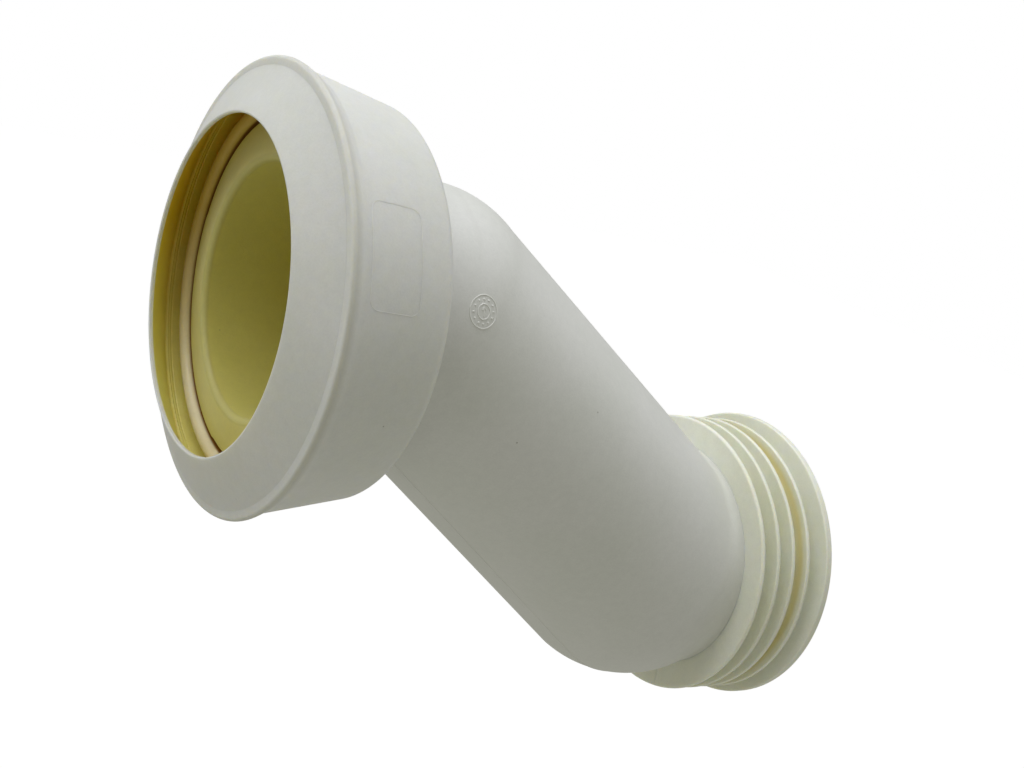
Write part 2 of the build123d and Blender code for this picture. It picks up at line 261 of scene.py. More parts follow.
def moulding(name, colour, cloud, roughness, ior, depth, specks=0.0, tints=()):
    """A moulded plastic: clouded colour, mottled half-matt skin and light that sinks in to a depth in mm.

    Each tint is a colour and the ranges where it takes over: ("X", none, full) counts the place along that
    axis, and (height, none, full) counts the distance from the duct's axis at that height.
    """
    material = bpy.data.materials.new(name)
    material.use_nodes = True
    tree = material.node_tree
    tree.nodes.clear()
    spot = add(tree, "ShaderNodeTexCoord").outputs["Object"]
    clouds = add(tree, "ShaderNodeTexNoise", {"Vector": spot, "Scale": 1 / CLOUD, "Detail": 3.0})
    cloudy = add(tree, "ShaderNodeMapRange", {"Value": clouds.outputs["Fac"], "From Min": 0.35, "From Max": 0.65})
    tone = add(tree, "ShaderNodeMix", {"Factor": cloudy.outputs["Result"], "A": (*cloud, 1), "B": (*colour, 1)},
               data_type="RGBA").outputs["Result"]
    for takes_over, ranges in tints:
        share = 1.0
        for axis, none, full in ranges:
            if isinstance(axis, str):
                measure = add(tree, "ShaderNodeSeparateXYZ", {"Vector": spot}).outputs[axis]
            else:
                across = add(tree, "ShaderNodeVectorMath", {0: spot, 1: (0, 1, 1)}, operation="MULTIPLY")
                measure = add(tree, "ShaderNodeVectorMath", {0: across.outputs[0], 1: (0, 0, axis)},
                              operation="DISTANCE").outputs["Value"]
            part = add(tree, "ShaderNodeMapRange", {"Value": measure, "From Min": none, "From Max": full})
            share = add(tree, "ShaderNodeMath", {0: part.outputs["Result"], 1: share}, operation="MULTIPLY").outputs[0]
        tone = add(tree, "ShaderNodeMix", {"Factor": share, "A": tone, "B": (*takes_over, 1)},
                   data_type="RGBA").outputs["Result"]
    # The mould's spark-eroded skin is 0.1 mm grit; it is drawn six times as coarse to show at all.
    grit = add(tree, "ShaderNodeTexNoise", {"Vector": spot, "Scale": 1 / GRIT, "Detail": 1.0})
    mottle = add(tree, "ShaderNodeTexNoise", {"Vector": spot, "Scale": 1 / MOTTLE, "Detail": 2.0})
    skin = add(tree, "ShaderNodeMix", {"Factor": 0.5, "A": mottle.outputs["Fac"], "B": grit.outputs["Fac"]})
    veil = add(tree, "ShaderNodeMapRange", {
        "Value": skin.outputs["Result"], "From Min": SKIN_LOW, "From Max": SKIN_HIGH, "To Min": 0.93, "To Max": 1.0})
    tone = add(tree, "ShaderNodeMix", {"Factor": 1.0, "A": tone, "B": veil.outputs["Result"]},
               data_type="RGBA", blend_type="MULTIPLY").outputs["Result"]
    if specks:
        # Dark specks in the resin, about half a millimetre across, a few on the whole moulding.
        cells = add(tree, "ShaderNodeTexVoronoi", {"Vector": spot, "Scale": 1 / SPECK_CELL})
        pick = add(tree, "ShaderNodeSeparateColor", {"Color": cells.outputs["Color"]})
        rare = add(tree, "ShaderNodeMath", {0: pick.outputs["Red"], 1: 1 - specks}, operation="GREATER_THAN")
        near = add(tree, "ShaderNodeMapRange", {
            "Value": cells.outputs["Distance"], "From Min": 0.03, "From Max": 0.06, "To Min": 0.6, "To Max": 0.0})
        speck = add(tree, "ShaderNodeMath", {0: rare.outputs[0], 1: near.outputs["Result"]}, operation="MULTIPLY")
        tone = add(tree, "ShaderNodeMix", {"Factor": speck.outputs[0], "A": tone, "B": (*linear("#7A7264"), 1)},
                   data_type="RGBA").outputs["Result"]
    rough = add(tree, "ShaderNodeMapRange", {
        "Value": skin.outputs["Result"], "From Min": SKIN_LOW, "From Max": SKIN_HIGH,
        "To Min": roughness - ROUGH_SPREAD, "To Max": roughness + ROUGH_SPREAD})
    bump = add(tree, "ShaderNodeBump", {"Height": skin.outputs["Result"], "Strength": 0.6, "Distance": SKIN_HEIGHT})
    shader = add(tree, "ShaderNodeBsdfPrincipled", {
        "Base Color": tone, "Roughness": rough.outputs["Result"], "IOR": ior,
        "Subsurface Weight": 0.8 if depth else 0.0, "Subsurface Radius": (1.0, 0.9, 0.6),
        "Subsurface Scale": depth * MM, "Normal": bump.outputs["Normal"]})
    add(tree, "ShaderNodeOutputMaterial", {"Surface": shader.outputs["BSDF"]})
    return material


def geometry_tree(name, **inputs):
    """A geometry node tree with named inputs and one mesh output; gives the tree and its inputs."""
    tree = bpy.data.node_groups.new(name, "GeometryNodeTree")
    for label, kind in inputs.items():
        tree.interface.new_socket(label, in_out="INPUT", socket_type=f"NodeSocket{kind}")
    tree.interface.new_socket("Mesh", in_out="OUTPUT", socket_type="NodeSocketGeometry")
    return tree, add(tree, "NodeGroupInput").outputs


def grown(piece, tree, **inputs):
    """Run a node tree on a piece, hand back the result as a plain mesh and drop the piece."""
    modifier = piece.modifiers.new(tree.name, "NODES")
    modifier.node_group = tree
    for item in tree.interface.items_tree:
        if item.in_out == "INPUT" and item.name in inputs:
            modifier[item.identifier] = inputs[item.name]
    graph = bpy.context.evaluated_depsgraph_get()
    mesh = bpy.data.meshes.new_from_object(piece.evaluated_get(graph), depsgraph=graph)
    piece.modifiers.remove(modifier)
    bpy.data.objects.remove(piece)
    if not mesh.polygons:
        raise RuntimeError(f"{tree.name} made no faces")
    return mesh


def fin_tree():
    """Fins set along a sleeve's core at an even pitch and welded to it."""
    tree, given = geometry_tree("fins_along_sleeve", Core="Geometry", Fin="Object", Fins="Int", Pitch="Float",
                                Weld="Float", Finish="Material")
    step = add(tree, "ShaderNodeCombineXYZ", {"X": given["Pitch"]})
    row = add(tree, "GeometryNodeMeshLine", {
        "Count": given["Fins"], "Start Location": step.outputs["Vector"], "Offset": step.outputs["Vector"]})
    fin = add(tree, "GeometryNodeObjectInfo", {"Object": given["Fin"]})
    fins = add(tree, "GeometryNodeInstanceOnPoints", {
        "Points": row.outputs["Mesh"], "Instance": fin.outputs["Geometry"]})
    real = add(tree, "GeometryNodeRealizeInstances", {"Geometry": fins.outputs["Instances"]})
    both = add(tree, "GeometryNodeJoinGeometry")
    tree.links.new(given["Core"], both.inputs["Geometry"])
    tree.links.new(real.outputs["Geometry"], both.inputs["Geometry"])
    weld = add(tree, "GeometryNodeMergeByDistance", {"Geometry": both.outputs["Geometry"], "Distance": given["Weld"]})
    paint = add(tree, "GeometryNodeSetMaterial", {"Geometry": weld.outputs["Geometry"], "Material": given["Finish"]})
    add(tree, "NodeGroupOutput", {"Mesh": paint.outputs["Geometry"]})
    return tree


def dropped(tree, given, flat):
    """Turn flat geometry to its seat and drop it on the surface below, a little sunk."""
    surface = add(tree, "GeometryNodeObjectInfo", {"Object": given["Surface"]})
    turn = add(tree, "FunctionNodeEulerToRotation", {"Euler": given["Turn"]})
    seated = add(tree, "GeometryNodeTransform", {
        "Geometry": flat, "Translation": given["Seat"], "Rotation": turn.outputs["Rotation"]})
    spot = add(tree, "GeometryNodeInputPosition")
    down = add(tree, "FunctionNodeRotateVector", {"Vector": (0, 0, -1), "Rotation": turn.outputs["Rotation"]})
    ray = add(tree, "GeometryNodeRaycast", {
        "Target Geometry": surface.outputs["Geometry"], "Source Position": spot.outputs["Position"],
        "Ray Direction": down.outputs["Vector"], "Ray Length": 200 * MM})
    sunk = add(tree, "ShaderNodeVectorMath", {0: down.outputs["Vector"], "Scale": given["Sink"]}, operation="SCALE")
    spot = add(tree, "ShaderNodeVectorMath", {0: ray.outputs["Hit Position"], 1: sunk.outputs[0]}, operation="ADD")
    laid = add(tree, "GeometryNodeSetPosition", {
        "Geometry": seated.outputs["Geometry"], "Selection": ray.outputs["Is Hit"], "Position": spot.outputs[0]})
    return laid.outputs["Geometry"]


def lined(tree, given, curves):
    """Give curves a fine round section."""
    section = add(tree, "GeometryNodeCurvePrimitiveCircle", {"Resolution": 8, "Radius": given["Line"]})
    return add(tree, "GeometryNodeCurveToMesh", {
        "Curve": curves, "Profile Curve": section.outputs["Curve"], "Fill Caps": True}).outputs["Mesh"]


def ended(tree, given, *meshes):
    """Join meshes, make instances real and give them their material."""
    whole = add(tree, "GeometryNodeJoinGeometry")
    for mesh in meshes:
        tree.links.new(mesh, whole.inputs["Geometry"])
    real = add(tree, "GeometryNodeRealizeInstances", {"Geometry": whole.outputs["Geometry"]})
    paint = add(tree, "GeometryNodeSetMaterial", {"Geometry": real.outputs["Geometry"], "Material": given["Finish"]})
    add(tree, "NodeGroupOutput", {"Mesh": paint.outputs["Geometry"]})
    return tree


MARK = {"Surface": "Object", "Seat": "Vector", "Turn": "Vector", "Sink": "Float", "Line": "Float", "Finish": "Material"}


def seam_tree():
    """A fine raised line across a surface."""
    tree, given = geometry_tree("seam_on_surface", Length="Float", **MARK)
    tip = add(tree, "ShaderNodeCombineXYZ", {"X": given["Length"]})
    run = add(tree, "GeometryNodeCurvePrimitiveLine", {"End": tip.outputs["Vector"]})
    fine = add(tree, "GeometryNodeResampleCurve", {"Curve": run.outputs["Curve"], "Count": 180})
    return ended(tree, given, lined(tree, given, dropped(tree, given, fine.outputs["Curve"])))


def panel_tree():
    """The raised outline of a round-cornered panel on a surface."""
    tree, given = geometry_tree("panel_on_surface", Width="Float", Height="Float", Corner="Float", **MARK)
    edge = add(tree, "GeometryNodeCurvePrimitiveQuadrilateral", {"Width": given["Width"], "Height": given["Height"]})
    soft = add(tree, "GeometryNodeFilletCurve", {
        "Curve": edge.outputs["Curve"], "Count": 10, "Radius": given["Corner"]}, mode="POLY")
    fine = add(tree, "GeometryNodeResampleCurve", {"Curve": soft.outputs["Curve"], "Count": 220})
    return ended(tree, given, lined(tree, given, dropped(tree, given, fine.outputs["Curve"])))


def dial_tree():
    """A moulder's date dial on a surface: rim, hub, arrow and a ring of dots."""
    tree, given = geometry_tree("dial_on_surface", Radius="Float", Dots="Int", Dot="Float", **MARK)
    drawn = add(tree, "GeometryNodeJoinGeometry")
    for share, sides in DIAL_CIRCLES:
        radius = add(tree, "ShaderNodeMath", {0: given["Radius"], 1: share}, operation="MULTIPLY")
        ring = add(tree, "GeometryNodeCurvePrimitiveCircle", {"Resolution": sides, "Radius": radius.outputs[0]})
        tree.links.new(ring.outputs["Curve"], drawn.inputs["Geometry"])
    for start, end in DIAL_ARROW:
        tips = [add(tree, "ShaderNodeVectorMath", {0: tip, "Scale": given["Radius"]}, operation="SCALE").outputs[0]
                for tip in (start, end)]
        stroke = add(tree, "GeometryNodeCurvePrimitiveLine", {"Start": tips[0], "End": tips[1]})
        tree.links.new(stroke.outputs["Curve"], drawn.inputs["Geometry"])
    lines = lined(tree, given, dropped(tree, given, drawn.outputs["Geometry"]))
    radius = add(tree, "ShaderNodeMath", {0: given["Radius"], 1: DIAL_DOTS}, operation="MULTIPLY")
    places = add(tree, "GeometryNodeMeshCircle", {"Vertices": given["Dots"], "Radius": radius.outputs[0]})
    dot = add(tree, "GeometryNodeMeshIcoSphere", {"Radius": given["Dot"], "Subdivisions": 2})
    sink = add(tree, "ShaderNodeMath", {0: given["Dot"], 1: DOT_SUNK}, operation="MULTIPLY")
    deeper = {label: given[label] for label in MARK} | {"Sink": sink.outputs[0]}
    dots = add(tree, "GeometryNodeInstanceOnPoints", {
        "Points": dropped(tree, deeper, places.outputs["Mesh"]), "Instance": dot.outputs["Mesh"]})
    return ended(tree, given, lines, dots.outputs["Instances"])


# ---- shapes

def rounded(corners, step=2.5 * MM, per_turn=40):
    """Section through (x, r, rounding) corners: arcs at the corners, even steps along long runs."""
    points = [Vector(c[:2]) for c in corners]
    bent = []
    for i, corner in enumerate(corners):
        radius = corner[2] if len(corner) > 2 else 0.0
        if not radius or i in (0, len(corners) - 1):
            bent.append([points[i]])
            continue
        before = (points[i - 1] - points[i]).normalized()
        after = (points[i + 1] - points[i]).normalized()
        half = before.angle(after) / 2
        middle = points[i] + (before + after).normalized() * (radius / math.sin(half))
        start = points[i] + before * (radius / math.tan(half)) - middle
        turn = start.angle_signed(points[i] + after * (radius / math.tan(half)) - middle)
        count = max(3, round(per_turn * abs(turn) / math.tau))
        bent.append([middle + Matrix.Rotation(-turn * k / count, 2) @ start for k in range(count + 1)])
    run = []
    for i, arc in enumerate(bent):
        if i:
            gap = arc[0] - bent[i - 1][-1]
            count = max(1, round(gap.length / step))
            run += [bent[i - 1][-1] + gap * (k / count) for k in range(1, count)]
        run += arc
    return np.array([tuple(p) for p in run])


def turned(section, axis_z=0.0):
    """Rings of points that a section makes when it is turned about the X axis."""
    turn = np.linspace(0, math.tau, SEGMENTS, endpoint=False)
    x = np.repeat(section[:, :1], SEGMENTS, axis=1)
    return np.stack((x, section[:, 1:] * np.cos(turn), section[:, 1:] * np.sin(turn) + axis_z), axis=-1)


def shell(name, strips):
    """A mesh of quads over strips of rings; each strip is (rings, closed, material index per band)."""
    places, faces, slots, first = [], [], [], 0
    for rings, closed, bands in strips:
        count, around = rings.shape[:2]
        grid = np.arange(count * around).reshape(count, around) + first
        low, high = (grid, np.roll(grid, -1, axis=0)) if closed else (grid[:-1], grid[1:])
        quads = np.stack((low, high, np.roll(high, -1, axis=1), np.roll(low, -1, axis=1)), axis=-1)
        faces.append(quads.reshape(-1, 4))
        slots.append(np.repeat(np.broadcast_to(bands, len(quads)), around))
        places.append(rings.reshape(-1, 3))
        first += count * around
    mesh = bpy.data.meshes.new(name)
    mesh.from_pydata(np.concatenate(places).tolist(), [], np.concatenate(faces).tolist())
    mesh.polygons.foreach_set("material_index", np.concatenate(slots).astype(np.int32))
    return mesh


def finish_mesh(mesh):
    """Close seams, point faces outwards and shade smooth, with sharp edges kept."""
    work = bmesh.new()
    work.from_mesh(mesh)
    bmesh.ops.remove_doubles(work, verts=work.verts, dist=0.005 * MM)
    bmesh.ops.recalc_face_normals(work, faces=work.faces)
    if any(len(edge.link_faces) != 2 for edge in work.edges):
        raise RuntimeError(f"{mesh.name} is not closed")
    work.to_mesh(mesh)
    work.free()
    mesh.shade_smooth()
    mesh.set_sharp_from_angle(angle=math.radians(38))


def place(name, mesh, *materials):
    """Put a finished mesh in the scene as a piece."""
    mesh.name = name
    for material in materials:
        mesh.materials.append(material)
    piece = bpy.data.objects.new(name, mesh)
    bpy.context.scene.collection.objects.link(piece)
    return piece


def stand_for(piece, node=None):
    """The piece rides on the part's one body, in the place of a CAD solid where one is named."""
    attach(piece, "root")
    if node:
        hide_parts(node)


def soft_union(a, b, width):
    """Smaller of two distances, with the crease between them softened."""
    mix = np.clip(0.5 + 0.5 * (b - a) / width, 0, 1)
    return b + (a - b) * mix - width * mix * (1 - mix)


def ball_run(points, start, end, start_radius, end_radius):
    """Distance to two balls and the cone that touches both."""
    along = end - start
    span = np.linalg.norm(along)
    slope = (start_radius - end_radius) / span
    offset = points - start
    axial = offset @ along / span
    radial = np.sqrt(np.maximum((offset ** 2).sum(-1) - axial ** 2, 0))
    foot = np.clip(axial + radial * slope / math.sqrt(1 - slope ** 2), 0, span)
    return np.hypot(axial - foot, radial) - (start_radius + (end_radius - start_radius) * foot / span)


def duct_distance(points, size, shrink):
    """Distance to the duct's outside, or to its bore where shrink is the wall's thickness."""
    inlet = size.inlet_bore + size.wall - shrink
    outlet = size.outlet_bore + size.wall - shrink
    upper = np.array((size.inlet_bend_x, 0, 0))
    lower = np.array((size.outlet_bend_x, 0, -size.offset_drop))
    tube_in = np.maximum(np.hypot(points[..., 1], points[..., 2]) - inlet, points[..., 0] - upper[0])
    tube_out = np.maximum(np.hypot(points[..., 1], points[..., 2] + size.offset_drop) - outlet,
                          lower[0] - points[..., 0])
    leg = ball_run(points, upper, lower, inlet + size.inlet_swell, outlet + size.outlet_swell)
    return soft_union(soft_union(tube_in, leg, size.blend), tube_out, size.blend)


def duct_stations(size):
    """Centres and directions of the sections along the duct, fanned round the inside of each bend."""
    drop, reach = size.offset_drop, size.outlet_bend_x - size.inlet_bend_x
    tilt = math.atan2(drop, reach)
    upper, lower = Vector((size.inlet_bend_x, 0)), Vector((size.outlet_bend_x, -drop))
    inward = Vector((math.sin(tilt / 2), math.cos(tilt / 2)))
    pivot_in, pivot_out = upper - inward * INLET_PIVOT * MM, lower + inward * OUTLET_PIVOT * MM
    reach_in, reach_out = INLET_PIVOT * MM * math.cos(tilt / 2), OUTLET_PIVOT * MM * math.cos(tilt / 2)

    def across(turn):
        return Vector((math.sin(turn), math.cos(turn)))

    stations = [(Vector((x, 0)), 0.0) for x in np.arange(20 * MM, pivot_in.x - 1 * MM, 3 * MM)]
    stations += [(pivot_in + across(a) * reach_in, a) for a in np.linspace(0, tilt, 46)]
    leg_start, leg_end = stations[-1][0], pivot_out - across(tilt) * reach_out
    stations += [(leg_start.lerp(leg_end, k / 32), tilt) for k in range(1, 32)]
    # The last few degrees are cut more finely, where the lower ball runs into the spigot.
    turns = np.concatenate((np.linspace(tilt, math.radians(6), 40), np.radians(np.linspace(5.8, 0, 30))))
    stations += [(pivot_out - across(a) * reach_out, a) for a in turns]
    stations += [(Vector((x, -drop)), 0.0) for x in np.linspace(pivot_out.x, size.end_x - 0.6 * MM, 16)[1:]]
    return stations


def duct_rings(size, shrink):
    """Rings of points on the duct, found by halving along rays from each section's centre."""
    turn = np.linspace(0, math.tau, SEGMENTS, endpoint=False)
    centres, rays = [], []
    for centre, tilt in duct_stations(size):
        centres.append((centre.x, 0, centre.y))
        rays.append(np.stack((np.sin(turn) * math.sin(tilt), np.cos(turn), np.sin(turn) * math.cos(tilt)), axis=-1))
    centres, rays = np.array(centres)[:, None, :], np.array(rays)
    near, far = np.zeros(rays.shape[:2]), np.full(rays.shape[:2], DUCT_REACH)
    for _ in range(HALVINGS):
        middle = (near + far) / 2
        inside = duct_distance(centres + rays * middle[..., None], size, shrink) < 0
        near, far = np.where(inside, middle, near), np.where(inside, far, middle)
    return centres + rays * far[..., None]


# ---- pieces

class SCENE_OT_offset_pipe(bpy.types.Operator):
    """Make the offset pipe with its flange and drum"""
    bl_idname = "pan_connector.offset_pipe"
    bl_label = "Offset pipe"

    def execute(self, context):
        size, finish = context.scene.pan_pipe, context.scene.pan_finishes
        tube = size.inlet_bore + size.wall
        flange_wall, drum_wall = 3.2 * MM, 3 * MM
        flange_back, hollow = 17.6 * MM, 50.2 * MM  # the flange's back, and the radius of the hollow behind its rim
        bore_start, tube_start = 17 * MM, 19.2 * MM  # where this section meets the duct's rings
        back = size.drum_front_x + flange_wall
        inner_front = size.drum_front + (back - size.drum_front_x) / (size.drum_back_x - size.drum_front_x) * (
            size.drum_back - size.drum_front) - drum_wall
        front = turned(rounded([
            (bore_start, size.inlet_bore),
            (size.flange_x - size.bore_lip, size.inlet_bore, 1.7 * MM),
            (size.flange_x, size.flange_rim, 0.4 * MM),
            (size.drum_front_x, size.flange_rim, 0.3 * MM),
            (size.drum_front_x, size.drum_front, 0.5 * MM),
            (size.drum_back_x, size.drum_back, EDGE),
            (size.drum_back_x, size.drum_back - drum_wall, EDGE),
            (back, inner_front, EDGE),
            (back, hollow, 0.4 * MM),
            (flange_back, hollow, 0.4 * MM),
            (flange_back, tube, 0.9 * MM),
            (tube_start, tube)]))
        # Outside its flush sector the flange's rim is set back; the step's floor stays.
        radius = np.hypot(front[..., 1], front[..., 2])
        turn = np.arctan2(front[..., 2], front[..., 1])
        set_back = (abs(radius - size.flange_rim) < 0.45 * MM) & (front[..., 0] < size.drum_front_x - 0.4 * MM)
        set_back &= (turn < size.flush_from) | (turn > size.flush_to)
        front[..., 1:] *= np.where(set_back, 1 - size.rim_step / size.flange_rim, 1.0)[..., None]
        end = turned(rounded([
            (size.end_x - 0.5 * MM, size.outlet_bore + size.wall),
            (size.end_x, size.outlet_bore + size.wall, 0.4 * MM),
            (size.end_x, size.outlet_bore, 0.4 * MM),
            (size.end_x - 0.5 * MM, size.outlet_bore)]), -size.offset_drop)
        outside, inside = duct_rings(size, 0.0), duct_rings(size, size.wall)[::-1]
        rings = np.concatenate((front, outside, end, inside))
        # The bore, the flange's face and its step take the inside's colour.
        seen_inside = np.zeros(len(rings), dtype=int)
        seen_inside[:int(np.argmax(radius[:, 0] > size.drum_front - 1 * MM))] = 1
        seen_inside[-len(inside) - 1:] = 1
        mesh = shell("offset_pipe_moulding", [(rings, True, seen_inside)])
        finish_mesh(mesh)
        # Injection-moulded polypropylene: milky off-white, half-matt, with faint clouds and a few dark specks.
        outer = moulding("moulded_polypropylene", finish.pipe, finish.pipe_cloud, roughness=0.46,
                         ior=POLYPROPYLENE_IOR, depth=0, specks=0.03)
        # The same resin inside the mouth, given a brighter straw yellow as painted light for the shade and bounced
        # light in the hollow; its lip is darker as painted shade that holds back a highlight, and its bore is a deeper
        # yellow as painted shade down the bore.
        inner = moulding("painted_light_straw_polypropylene", finish.flange, finish.flange_cloud, roughness=0.5,
                         ior=POLYPROPYLENE_IOR, depth=3.0, specks=0.02,
                         tints=[(finish.lip, [(0.0, 40.8 * MM, 39.5 * MM)]),
                                (finish.bore, [("X", 13.4 * MM, 14.4 * MM)])])
        piece = place("offset_pipe_moulding", mesh, outer, inner)
        stand_for(piece, "offset_pipe")
        return {"FINISHED"}


class SCENE_OT_inlet_cap(bpy.types.Operator):
    """Make the soft cap that closes over the pan's spigot"""
    bl_idname = "pan_connector.inlet_cap"
    bl_label = "Inlet cap"

    def execute(self, context):
        size, finish = context.scene.pan_cap, context.scene.pan_finishes
        grip_x, grip_root = 40.75 * MM, 58.18 * MM  # front of the grip edge, and the wall's inside there
        seat_x = context.scene.pan_ring.back_x
        groove_x, bead_x = 11.4 * MM, 10.1 * MM  # two fine lines round the wall
        half, height = 0.3 * MM, 0.2 * MM  # half the width of these lines, and their height
        cone_x, edge_x = 9.27 * MM, 0.35 * MM  # back of the cone, and of the mouth's thin edge
        section = rounded([
            (-0.4 * MM, size.mouth),
            (-size.lip, size.mouth, 0.5 * MM),
            (size.band_x, size.band, 0.5 * MM),
            (size.band_x + 0.4 * MM, size.rim + 0.57 * MM, 1.2 * MM),
            (size.flare_x, size.flare, 5 * MM),
            (size.back_x, size.back, 4.4 * MM),
            (size.back_x, size.grip, 1.2 * MM),
            (grip_x, size.grip, EDGE),
            (grip_x, grip_root, 0.4 * MM),
            (seat_x, size.inside, 0.3 * MM),
            (groove_x + half, size.inside, 0.1 * MM),
            (groove_x, size.inside + height, 0.1 * MM),
            (groove_x - half, size.inside, 0.1 * MM),
            (bead_x + half, size.inside, 0.1 * MM),
            (bead_x, size.inside - height, 0.15 * MM),
            (bead_x - half, size.inside, 0.1 * MM),
            (cone_x, size.inside, 0.3 * MM),
            (edge_x, size.mouth, 0.3 * MM),
            (-0.3 * MM, size.mouth)])
        # The inside begins behind the grip edge and ends just short of the mouth's thin edge.
        behind = np.arange(len(section)) > np.argmax(section[:, 0])
        inner = (behind & (section[:, 0] < 42 * MM) & (section[:, 0] > 0.8 * MM)).astype(int)
        mesh = shell("inlet_cap_moulding", [(turned(section), True, inner)])
        finish_mesh(mesh)
        # Soft moulded elastomer: off-white, nearly matt, with painted shade along the rim's crest to hold back its
        # highlight.
        outer = moulding("soft_cap_elastomer", finish.cap, finish.cap_cloud, roughness=0.56, ior=ELASTOMER_IOR,
                         depth=3.0, specks=0.02, tints=[
            (finish.cap_rim_painted_shade, [("X", size.band_x + 0.2 * MM, size.band_x + 0.8 * MM), ("X", 11.5 * MM, 9.2 * MM)])])
        # The same elastomer inside the mouth, given a bright deep straw yellow as painted light for the shade and
        # bounced light in the hollow, with painted shade deepening it above.
        inside = moulding("painted_light_straw_cap_elastomer", finish.cap_inside, finish.cap_inside_cloud, roughness=0.4,
                          ior=ELASTOMER_IOR, depth=4.0, tints=[(finish.cap_upper_painted_shade, [("Z", -26 * MM, 8 * MM)])])
        piece = place("inlet_cap_moulding", mesh, outer, inside)
        stand_for(piece, "inlet_cap")
        return {"FINISHED"}


class SCENE_OT_seal_ring(bpy.types.Operator):
    """Make the seal ring that lies inside the cap"""
    bl_idname = "pan_connector.seal_ring"
    bl_label = "Seal ring"

    def execute(self, context):
        size, finish = context.scene.pan_ring, context.scene.pan_finishes
        hole_start, hole_end = 15 * MM, 16 * MM  # the section starts and ends on the ring's hole
        section = rounded([
            (hole_start, size.inner),
            (size.front_x, size.inner, size.rounding),
            (size.front_x, size.outer, size.rounding),
            (size.back_x, size.outer, 0.4 * MM),
            (size.back_x, size.inner, 0.4 * MM),
            (hole_end, size.inner)])
        mesh = shell("seal_ring_moulding", [(turned(section), True, 0)])
        finish_mesh(mesh)
        # Beige sealing rubber: denser than the cap, so it stays pale; painted shade deepens it above and turns it brown
        # along its joint with the flange.
        rubber = moulding("beige_ring_elastomer", finish.ring, finish.ring_cloud, roughness=0.42, ior=ELASTOMER_IOR,
                          depth=1.5, tints=[
            (finish.ring_upper_painted_shade, [("Z", -32 * MM, 12 * MM)]), (finish.ring_root_painted_shade, [("X", 13.9 * MM, 14.7 * MM)])])
        piece = place("seal_ring_moulding", mesh, rubber)
        stand_for(piece, "seal_ring")
        return {"FINISHED"}


class SCENE_OT_outlet_sleeve(bpy.types.Operator):
    """Make the finned sleeve that seals in the soil pipe"""
    bl_idname = "pan_connector.outlet_sleeve"
    bl_label = "Outlet sleeve"

    def execute(self, context):
        size, finish = context.scene.pan_sleeve, context.scene.pan_finishes
        pipe = context.scene.pan_pipe
        axis = -pipe.offset_drop
        bore_start, stop_x = size.face_x + 20 * MM, 237.43 * MM  # where the section starts, and the spigot's stop
        press, lead = 0.13 * MM, 0.8 * MM  # how far and how long the collar's edge presses on the spigot
        tips = [size.first_tip_x + n * size.pitch for n in range(size.fins + 1)]
        behind = size.taper + size.root
        ahead = size.lean - size.tip - size.root
        strips = [rounded([
            (bore_start, size.bore),
            (size.face_x + lead, size.bore),
            (size.face_x, size.bore - press),
            (tips[0] - size.tip, size.fin, 0.9 * MM),
            (tips[0], size.fin, 0.5 * MM),
            (tips[0] + size.taper, size.groove, 0.8 * MM),
            (tips[0] + behind, size.groove)])]
        for tip, following in zip(tips[:-2], tips[1:-1]):
            strips.append(rounded([(tip + behind, size.groove), (following + ahead, size.groove)]))
        strips.append(rounded([
            (tips[-2] + behind, size.groove),
            (tips[-2] + behind + 0.3 * MM, size.deep_groove, 0.2 * MM),
            (tips[-1] + ahead - 0.3 * MM, size.deep_groove, 0.2 * MM),
            (tips[-1] + ahead, size.groove)]))
        strips.append(rounded([
            (tips[-1] + behind, size.groove),
            (size.end_front_x, size.groove, EDGE),
            (size.end_front_x, size.end_lip, EDGE),
            (size.end_back_x, size.end_lip, EDGE),
            (size.end_back_x, pipe.outlet_bore, EDGE),
            (stop_x, pipe.outlet_bore, 0.2 * MM),
            (stop_x, size.bore, 0.2 * MM),
            (bore_start, size.bore)]))
        fin = rounded([
            (size.first_tip_x + ahead, size.groove),
            (size.first_tip_x + size.lean - size.tip, size.groove, 0.8 * MM),
            (size.first_tip_x - size.tip, size.fin, 0.5 * MM),
            (size.first_tip_x, size.fin, 0.5 * MM),
            (size.first_tip_x + size.taper, size.groove, 0.8 * MM),
            (size.first_tip_x + behind, size.groove)])
        core = place("outlet_sleeve_core", shell("outlet_sleeve_core", [(turned(s, axis), False, 0) for s in strips]))
        one_fin = place("outlet_sleeve_fin", shell("outlet_sleeve_fin", [(turned(fin, axis), False, 0)]))
        # Soft thermoplastic rubber: cream, nearly matt, a little light sinks in; yellow painted shade deep in the last
        # groove.
        rubber = moulding("cream_sleeve_elastomer", finish.sleeve, finish.sleeve_cloud, roughness=0.5,
                          ior=ELASTOMER_IOR, depth=1.2, tints=[
            (finish.deep_groove, [("X", tips[-2], tips[-2] + 0.6 * MM), ("X", tips[-1] - 0.3 * MM, tips[-1] - 0.9 * MM),
                                  (axis, size.fin - 1.5 * MM, size.fin - 3.5 * MM)])])
        mesh = grown(core, fin_tree(), Fin=one_fin, Fins=size.fins, Pitch=size.pitch, Weld=0.02 * MM, Finish=rubber)
        bpy.data.objects.remove(one_fin)
        finish_mesh(mesh)
        piece = place("outlet_sleeve_moulding", mesh)
        stand_for(piece, "outlet_seal")
        return {"FINISHED"}


